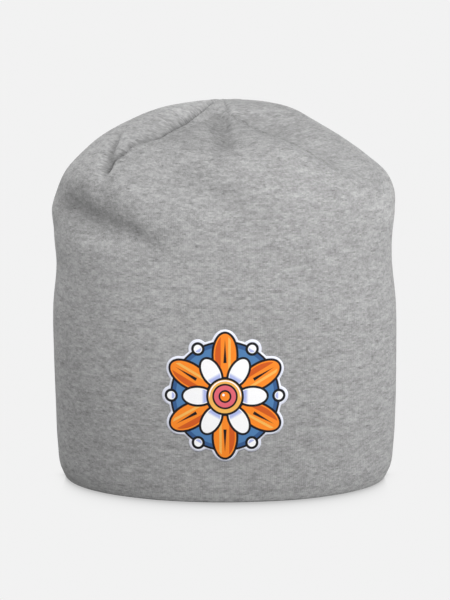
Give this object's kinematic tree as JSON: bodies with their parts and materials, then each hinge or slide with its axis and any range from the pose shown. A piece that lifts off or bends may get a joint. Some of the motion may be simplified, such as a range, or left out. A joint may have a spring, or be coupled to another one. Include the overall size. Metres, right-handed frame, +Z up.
{
  "type": "jersey beanie",
  "caption": "Slouchy knit cap of doubled jersey with a folded hem, a softly folded darted crown and an open hollow for the head.",
  "frame": {"origin": "middle of the oval foot of the hem, on the surface that the hat stands on", "axes": "+Z up from the hem to the apex; the printed front faces -Y; +X is to the right in a front view, along the hat's width"},
  "size_m": [0.2205, 0.1414, 0.2433],
  "materials": {
    "jersey": "matt heather grey single jersey",
    "thread": "matt grey sewing thread",
    "print_ink": "satin soft print film in blue, orange, gold, black and white"
  },
  "bodies": {
    "root": {"jersey_shell": "jersey"}
  },
  "joints": []
}
